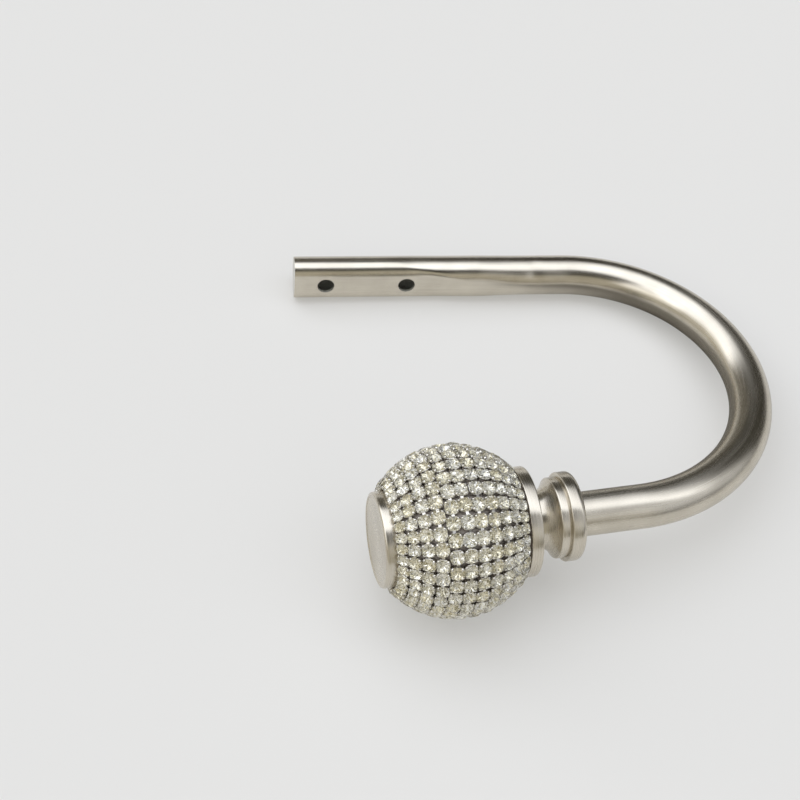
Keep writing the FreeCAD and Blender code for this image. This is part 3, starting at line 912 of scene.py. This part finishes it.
@dataclass
class RhinestoneBand:
    """A band of rhinestone mesh on the ball: rows of foil-backed stones in linked claw cups."""

    side: BandSide
    node: str
    placing: Matrix
    middle: float
    columns: int
    phase: float
    rows: int = 32
    ball_radius: float = 22.0
    length: float = 3.82
    width: float = 3.95
    pitch: float = 3.56
    height: float = 2.25
    gap: float = 0.1
    seam_offset: float = 6.25
    seed: int = 7
    corner_cut: float = 0.25
    girdle: float = 1.35
    culet: float = 0.25
    stone_share: float = 0.98
    belt: tuple[float, float] = (0.88, 0.6)
    table: tuple[float, float] = (0.58, 0.04)
    waist: tuple[float, float] = (0.62, 0.62)
    tilt: float = math.radians(5.5)
    shift: float = 0.13
    claw_half: float = 0.42
    claw_thick: float = 0.22
    link_half: float = 0.42
    claw_seat: float = 0.72
    link_level: tuple[float, float] = (0.6, 1.2)
    link_reach: tuple[float, float] = (-0.35, 1.0)

    def latitude_step(self) -> float:
        """Angle between neighbouring stones of a row."""
        return 2 * math.atan(self.pitch / 2 / self.ball_radius)

    def first_latitude(self) -> float:
        """Angle of the first stone beside the seam, from the ball's middle plane."""
        return math.asin(self.seam_offset / self.ball_radius) + self.side.value * self.latitude_step() / 2

    def octagon(self, scale: float, height: float, turn: bool = False) -> list[Vector]:
        """Outline of a stone at one height: a square with cut corners, or its turned in-between points.

        Args:
            scale: Share of the full outline.
            height: Height above the ball, in millimetres.
            turn: Whether the points lie midway between the corners.

        Returns:
            Eight points, counter-clockwise.
        """
        a, b = self.length / 2 * scale, self.width / 2 * scale
        cut = 1 - 2 * self.corner_cut
        corners = [(a, -b * cut), (a, b * cut), (a * cut, b), (-a * cut, b),
                   (-a, b * cut), (-a, -b * cut), (-a * cut, -b), (a * cut, -b)]
        if turn:
            corners = [((p[0] + q[0]) / 2, (p[1] + q[1]) / 2) for p, q in zip(corners, corners[1:] + corners[:1])]
        return [Vector((x, y, height)) for x, y in corners]

    def stone(self) -> Mesh:
        """One cut stone: crown of kites and stars, table, and a foil-backed pavilion."""
        mesh = bmesh.new()
        foil = mesh.faces.layers.bool.new("foil")
        size, rise = self.stone_share, self.height - self.girdle
        # Belt, table and waist each have a share of the girdle's outline and a place on the crown or pavilion.
        outlines = (self.octagon(size, self.girdle),
                    self.octagon(size * self.belt[0], self.girdle + rise * self.belt[1], True),
                    self.octagon(size * self.table[0], self.height - self.table[1]),
                    self.octagon(size * self.waist[0], self.girdle * self.waist[1], True))
        girdle, belt, table, waist = ([mesh.verts.new(p) for p in outline] for outline in outlines)
        tip = mesh.verts.new((0.0, 0.0, self.culet))
        for index in range(8):
            ahead = (index + 1) % 8
            mesh.faces.new((girdle[index], girdle[ahead], belt[index]))
            mesh.faces.new((belt[index], girdle[ahead], belt[ahead]))
            mesh.faces.new((belt[index], belt[ahead], table[ahead]))
            mesh.faces.new((table[index], belt[index], table[ahead]))
            for back in ((girdle[ahead], girdle[index], waist[index]), (girdle[ahead], waist[index], waist[ahead]),
                         (waist[ahead], waist[index], tip)):
                mesh.faces.new(back)[foil] = True
        mesh.faces.new(table)
        data = mesh_from("stone", mesh, Matrix())
        places = data.attributes.new("cut_place", "FLOAT_VECTOR", "POINT")
        for vertex, place in zip(data.vertices, places.data):
            place.vector = vertex.co
        return data

    def cup(self) -> Mesh:
        """One claw cup: a wall with a rim round the stone, four bent claws and a link to the next row."""
        mesh = bmesh.new()
        # Foot, lip, bent-in edge and floor: share of the stone's outline, and height.
        levels = ((0.86, 0.02), (1.0, self.girdle - 0.1), (0.95, self.girdle - 0.02), (0.8, 0.12))
        rings = [[mesh.verts.new(p) for p in self.octagon(*level)] for level in levels]
        for low, high in zip(rings, rings[1:]):
            bridge(mesh, low, high)
        mesh.faces.new(rings[0][::-1])
        mesh.faces.new(rings[-1])
        self.add_claws(mesh)
        self.add_link(mesh)
        return mesh_from("cup", mesh, Matrix())

    def add_claws(self, mesh: BMesh) -> None:
        """Adds the four claws that bend over the cut corners of the stone.

        Args:
            mesh: Mesh of the cup.
        """
        reach = Vector((self.length / 2, self.width / 2)).length * (1 - self.corner_cut * self.claw_seat)
        # Root, bend and tip: distance from the middle, height, and share of the full width.
        bends = ((reach, 0.15, 1.0), (reach + 0.02, self.girdle + 0.2, 0.9), (reach - 0.5, self.height - 0.3, 0.6))
        for sign_x, sign_y in ((1, 1), (-1, 1), (-1, -1), (1, -1)):
            out = Vector((sign_x * self.length, sign_y * self.width, 0.0)).normalized()
            aside = Vector((-out.y, out.x, 0.0))
            inwards = (-out, -out, Vector((0.0, 0.0, -0.5)) - out * 0.5)
            rings = []
            for (away, height, share), inward in zip(bends, inwards):
                middle, side, back = out * away, aside * self.claw_half * share, inward * self.claw_thick
                middle.z = height
                rings.append([mesh.verts.new(middle + turn) for turn in (side, -side, back - side, back + side)])
            for low, high in zip(rings, rings[1:]):
                for face in bridge(mesh, low, high):
                    face.smooth = True
            mesh.faces.new(rings[-1]).smooth = True
            mesh.faces.new(rings[0][::-1])

    def add_link(self, mesh: BMesh) -> None:
        """Adds the flat link from this cup to the next row.

        Args:
            mesh: Mesh of the cup.
        """
        near, far = (self.width / 2 + reach for reach in self.link_reach)
        half, (low, high) = self.link_half, self.link_level
        first, last = ([mesh.verts.new((x, y, z)) for x, z in ((-half, low), (half, low), (half, high), (-half, high))]
                       for y in (near, far))
        bridge(mesh, first, last)
        mesh.faces.new(first[::-1])
        mesh.faces.new(last)

    def sizes(self) -> dict[str, float]:
        """Inputs of the node tree beside the template, by name."""
        return {"Rows": self.rows, "Columns": self.columns, "First latitude": self.first_latitude(),
                "Latitude step": self.side.value * self.latitude_step(), "Phase": self.phase,
                "Ball radius": self.ball_radius, "Stone width": self.width, "Gap": self.gap,
                "Tilt": self.tilt, "Shift": self.shift, "Seed": self.seed}

    def tree(self, name: str, materials: Sequence[Material]) -> NodeTree:
        """Builds the node tree that sets copies of a stone or cup in rows on the ball.

        Args:
            name: Name of the tree.
            materials: Material of all faces, and of the faces marked as foil where there is a second one.

        Returns:
            The tree, whose inputs are the sizes of the band.
        """
        tree = bpy.data.node_groups.new(name, "GeometryNodeTree")
        face = tree.interface
        face.new_socket("Geometry", in_out="INPUT", socket_type="NodeSocketGeometry")
        for label, size in self.sizes().items():
            kind = "NodeSocketInt" if isinstance(size, int) else "NodeSocketFloat"
            face.new_socket(label, in_out="INPUT", socket_type=kind)
        face.new_socket("Geometry", in_out="OUTPUT", socket_type="NodeSocketGeometry")
        given = tree.nodes.new("NodeGroupInput").outputs
        value = {label: given[label] for label in self.sizes()}
        value["index"] = tree.nodes.new("GeometryNodeInputIndex").outputs[0]
        steps = (
            ("count", "MULTIPLY", "Rows", "Columns"),
            ("row part", "ADD", "index", 0.5), ("row share", "DIVIDE", "row part", "Columns"),
            ("row", "FLOOR", "row share"), ("before", "MULTIPLY", "row", "Columns"),
            ("column", "SUBTRACT", "index", "before"),
            ("rise", "MULTIPLY", "column", "Latitude step"), ("latitude", "ADD", "First latitude", "rise"),
            ("shifted row", "ADD", "row", "Phase"), ("round", "MULTIPLY", "shifted row", 2 * math.pi),
            ("turn", "DIVIDE", "round", "Rows"),
            ("latitude cosine", "COSINE", "latitude"), ("reach", "MULTIPLY", "Ball radius", "latitude cosine"),
            ("latitude sine", "SINE", "latitude"), ("x", "MULTIPLY", "Ball radius", "latitude sine"),
            ("turn sine", "SINE", "turn"), ("left", "MULTIPLY", "reach", "turn sine"), ("y", "MULTIPLY", "left", -1.0),
            ("turn cosine", "COSINE", "turn"), ("z", "MULTIPLY", "reach", "turn cosine"),
            ("girth", "MULTIPLY", "reach", 2 * math.pi), ("pitch", "DIVIDE", "girth", "Rows"),
            ("room", "SUBTRACT", "pitch", "Gap"), ("fit", "DIVIDE", "room", "Stone width"),
            ("squeeze", "MINIMUM", "fit", 1.0),
        )
        for name, operation, *terms in steps:
            inputs = {i: value[term] if isinstance(term, str) else term for i, term in enumerate(terms)}
            value[name] = add_node(tree, "ShaderNodeMath", inputs, operation=operation)
        points = add_node(tree, "GeometryNodePoints", {"Count": value["count"]})
        place = add_node(tree, "ShaderNodeCombineXYZ", {0: value["x"], 1: value["y"], 2: value["z"]})
        stray = {}
        for label in ("Shift", "Tilt"):
            most = add_node(tree, "ShaderNodeCombineXYZ", {i: given[label] for i in range(3)})
            least = add_node(tree, "ShaderNodeVectorMath", {0: most, "Scale": -1.0}, operation="SCALE")
            stray[label] = add_node(tree, "FunctionNodeRandomValue", {0: least, 1: most, "Seed": given["Seed"]},
                                    data_type="FLOAT_VECTOR")
        placed = add_node(tree, "GeometryNodeSetPosition",
                          {"Geometry": points, "Position": place, "Offset": stray["Shift"]})
        around = add_node(tree, "ShaderNodeCombineXYZ", {0: value["turn"]})
        lean = add_node(tree, "ShaderNodeCombineXYZ", {1: value["latitude"]})
        turned = add_node(tree, "FunctionNodeEulerToRotation", {0: around})
        for angles in (lean, stray["Tilt"]):
            turn = add_node(tree, "FunctionNodeEulerToRotation", {0: angles})
            turned = add_node(tree, "FunctionNodeRotateRotation", {"Rotation": turned, "Rotate By": turn},
                              rotation_space="LOCAL")
        scale = add_node(tree, "ShaderNodeCombineXYZ", {0: 1.0, 1: value["squeeze"], 2: 1.0})
        copies = add_node(tree, "GeometryNodeInstanceOnPoints",
                          {"Points": placed, "Instance": given["Geometry"], "Rotation": turned, "Scale": scale})
        pick = add_node(tree, "FunctionNodeRandomValue", {"Seed": given["Seed"]}, data_type="FLOAT")
        marked = add_node(tree, "GeometryNodeStoreNamedAttribute",
                          {"Geometry": copies, "Name": "stone_pick", "Value": pick.outputs[1]}, data_type="FLOAT",
                          domain="INSTANCE")
        last = add_node(tree, "GeometryNodeRealizeInstances", {0: marked})
        last = add_node(tree, "GeometryNodeSetMaterial", {"Geometry": last, "Material": materials[0]})
        if len(materials) > 1:
            foil = add_node(tree, "GeometryNodeInputNamedAttribute", {"Name": "foil"}, data_type="BOOLEAN")
            last = add_node(tree, "GeometryNodeSetMaterial",
                            {"Geometry": last, "Selection": foil, "Material": materials[1]})
        add_node(tree, "NodeGroupOutput", {0: last})
        return tree

    def spread(self, name: str, template: Mesh, materials: Sequence[Material]) -> Object:
        """Sets copies of a template on the ball and turns the result into a plain mesh.

        Args:
            name: Name of the finished piece.
            template: One stone or cup, in millimetres.
            materials: Materials of its faces.

        Returns:
            The piece, in metres, in the frame of the part.
        """
        piece = object_from(name, template)
        tree = self.tree(f"{name}_rows", materials)
        rows = piece.modifiers.new("rows", "NODES")
        rows.node_group = tree
        sizes = self.sizes()
        for socket in tree.interface.items_tree:
            if socket.in_out == "INPUT" and socket.name in sizes:
                rows[socket.identifier] = sizes[socket.name]
        bake(piece)
        piece.data.transform(TO_METRES @ self.placing @ Matrix.Translation((self.middle, 0.0, 0.0)))
        return piece

    def build(self, glass: Material, foil: Material, metal: Material) -> list[Object]:
        """Builds, dresses and hands over the stones and the cups of the band.

        Args:
            glass: Cut glass of the crowns.
            foil: Foil behind the stones.
            metal: Metal of the cups.

        Returns:
            The two finished pieces.
        """
        suffix = self.side.name.lower()
        stones = self.spread(f"rhinestones_{suffix}_side", self.stone(), (glass, foil))
        cups = self.spread(f"claw_cups_{suffix}_side", self.cup(), (metal,))
        hand_over(stones, "rhinestone", self.node)
        hand_over(cups, "zinc_plated_steel")
        return [stones, cups]


@dataclass(frozen=True)
class Glow:
    """A bright part of the studio, bounded by soft limits along axes."""

    colour: str
    level: float
    limits: tuple[tuple[tuple[float, float, float], float, float], ...] = ()

    def add(self, tree: NodeTree, sky: NodeSocket, others: Node | None) -> Node:
        """Adds the nodes of this glow.

        Args:
            tree: Node tree of the world.
            sky: Direction of the ray.
            others: The glows so far.

        Returns:
            The colour of all glows in that direction.
        """
        shine: Node | float = self.level
        for axis, dark, full in self.limits:
            along = add_node(tree, "ShaderNodeVectorMath", {0: sky, 1: axis}, operation="DOT_PRODUCT")
            edge = add_node(tree, "ShaderNodeMapRange",
                            {"Value": along.outputs["Value"], "From Min": dark, "From Max": full},
                            interpolation_type="SMOOTHSTEP")
            shine = add_node(tree, "ShaderNodeMath", {0: shine, 1: edge}, operation="MULTIPLY")
        light = add_node(tree, "ShaderNodeVectorMath", {0: linear(self.colour)[:3], "Scale": shine},
                         operation="SCALE")
        if others is None:
            return light
        return add_node(tree, "ShaderNodeVectorMath", {0: others, 1: light}, operation="ADD")


@dataclass
class Stage:
    """The pale table, the studio light and the camera."""

    eye: tuple[float, float, float] = (-52.421, -364.45, 323.847)
    right: tuple[float, float, float] = (0.99163, -0.10232, 0.07875)
    back: tuple[float, float, float] = (-0.12776, -0.68943, 0.71299)
    focal_pixels: float = 1522.96
    picture: float = 800.0
    sensor: float = 36.0
    table_slope: tuple[float, float] = (0.01199, 0.16477)
    table_level: float = -7.9749
    table_reach: float = 6000.0
    bounces: int = 24
    backdrop: str = "#e2e2e1"

    def camera(self) -> None:
        """Adds the camera at the viewing angle."""
        data = bpy.data.cameras.new("camera")
        data.sensor_width = self.sensor
        data.lens = self.focal_pixels * self.sensor / self.picture
        data.clip_start, data.clip_end = 0.01, 50.0
        right, back = Vector(self.right).normalized(), Vector(self.back).normalized()
        up = back.cross(right)
        turn = Matrix((right, up, back)).transposed().to_4x4()
        holder = bpy.data.objects.new("camera", data)
        holder.matrix_world = Matrix.Translation(Vector(self.eye) * MM) @ turn
        bpy.context.scene.collection.objects.link(holder)
        bpy.context.scene.camera = holder

    def table(self) -> None:
        """Adds the table that the holdback lies on, tilted as the ball lifts the part's frame."""
        reach = self.table_reach
        corners = []
        for x, y in ((-reach, -reach), (reach, -reach), (reach, reach), (-reach, reach)):
            level = self.table_slope[0] * x + self.table_slope[1] * y + self.table_level
            corners.append(Vector((x, y, level)) * MM)
        data = bpy.data.meshes.new("table")
        data.from_pydata(corners, [], [(0, 1, 2, 3)])
        table = object_from("table", data)
        data.materials.append(TableWithPaintedLight().material())

    def light(self) -> None:
        """Sets the studio: a wide soft light overhead, pale surroundings at the front left, and a pale backdrop."""
        along, away, up = (1.0, 0.0, 0.0), (0.0, 1.0, 0.0), (0.0, 0.0, 1.0)
        glows = (
            Glow("#f2f6ff", 2.06, ((away, -0.42, -0.25), (away, 0.70, 0.52), (along, -0.92, -0.72),
                                   ((0.85, 0.53, 0.0), 0.66, 0.26), (up, 0.10, 0.35))),
            Glow("#f6f9ff", 0.7, ((along, 0.14, 0.40), (away, 0.25, -0.05), (up, -0.05, 0.25), (up, 0.93, 0.75),
                                  (away, -0.98, -0.80))),
            Glow("#f8faff", 1.4, ((along, -0.25, -0.50), (away, -0.15, -0.45), (up, 0.30, 0.55))),
            Glow("#fff9e6", 0.48, ((up, 0.72, 0.50), ((-0.75, -0.66, 0.0), 0.0, 0.5))),
            Glow("#fff8e8", 0.12, ((up, 0.70, 0.50), (along, 0.25, -0.10), (away, 0.0, 0.3))),
            Glow("#fff8e0", 0.05),
        )
        scene = bpy.context.scene
        world = bpy.data.worlds.new("studio")
        scene.world = world
        world.use_nodes = True
        tree = world.node_tree
        tree.nodes.clear()
        sky = add_node(tree, "ShaderNodeTexCoord").outputs["Generated"]
        shine = None
        for glow in glows:
            shine = glow.add(tree, sky, shine)
        rays = tree.nodes.new("ShaderNodeLightPath")
        studio = add_node(tree, "ShaderNodeBackground", {"Color": shine})
        pale = add_node(tree, "ShaderNodeBackground", {"Color": linear(self.backdrop)})
        mix = add_node(tree, "ShaderNodeMixShader", {0: rays.outputs["Is Camera Ray"], 1: studio, 2: pale})
        add_node(tree, "ShaderNodeOutputWorld", {"Surface": mix})
        scene.view_settings.view_transform = "Standard"
        scene.cycles.max_bounces = self.bounces
        scene.cycles.glossy_bounces = self.bounces
        scene.cycles.transmission_bounces = self.bounces

    def build(self) -> None:
        """Sets up camera, table and light."""
        self.camera()
        self.table()
        self.light()


def dress_solids(finishes: dict[str, Material]) -> None:
    """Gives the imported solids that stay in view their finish.

    Args:
        finishes: Material by name of the solid.
    """
    for name, material in finishes.items():
        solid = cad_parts[name]
        for holder in solid.material_slots:
            holder.material = material
        LOG.info("%s: dressed with %s", name, material.name)


def main() -> None:
    """Builds the holdback's pieces in order."""
    logging.basicConfig(level=logging.INFO, format="%(name)s: %(message)s")
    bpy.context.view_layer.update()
    Stage().build()
    drawn = SatinNickel(Grain.DRAWN, roughness=0.2, stretch=0.7, bent_roughness=0.06).material()
    turned = SatinNickel(Grain.TURNED, roughness=0.27, roughness_spread=0.07, stretch=0.5, streak=0.1).material()
    bare = Moulding("bare_steel", "#a3a298", "#87867c", roughness=0.7).material()
    tube = HookTube()
    tube.dress(tube.build(), drawn, bare)
    placing = tube.finial_frame()
    collar = Collar(placing, tube.ball_arm_length)
    collar.dress(collar.build(), turned, "collar")
    core_length = 36.4
    cap = EndCap(placing, collar.ball_start + core_length)
    cap.dress(cap.build(), turned, "end_cap")
    glass, foil, metal = RhinestoneGlass().material(), MirrorFoil().material(), ClawMetal().material()
    middle = collar.ball_start + core_length / 2
    RhinestoneBand(BandSide.COLLAR, "rhinestone_band_collar_side", placing, middle, 7, 0.0).build(glass, foil, metal)
    RhinestoneBand(BandSide.CAP, "rhinestone_band_cap_side", placing, middle, 4, 0.5).build(glass, foil, metal)
    dress_solids({
        # Painted light: the backing is a pale grey-brown, far lighter than its own dark colour, so the deep gaps
        # between the stones show less shade.
        "ball_core": Moulding("backing_painted_pale", "#c2b9b2", "#aaa099").material(),
        "tube_end_plug": Moulding("pale_nylon", "#d2d1cc", "#bfbdb6", roughness=0.4).material(),
        "tube_insert": metal,
        "threaded_stud": metal,
    })


if __name__ == "__main__":
    main()
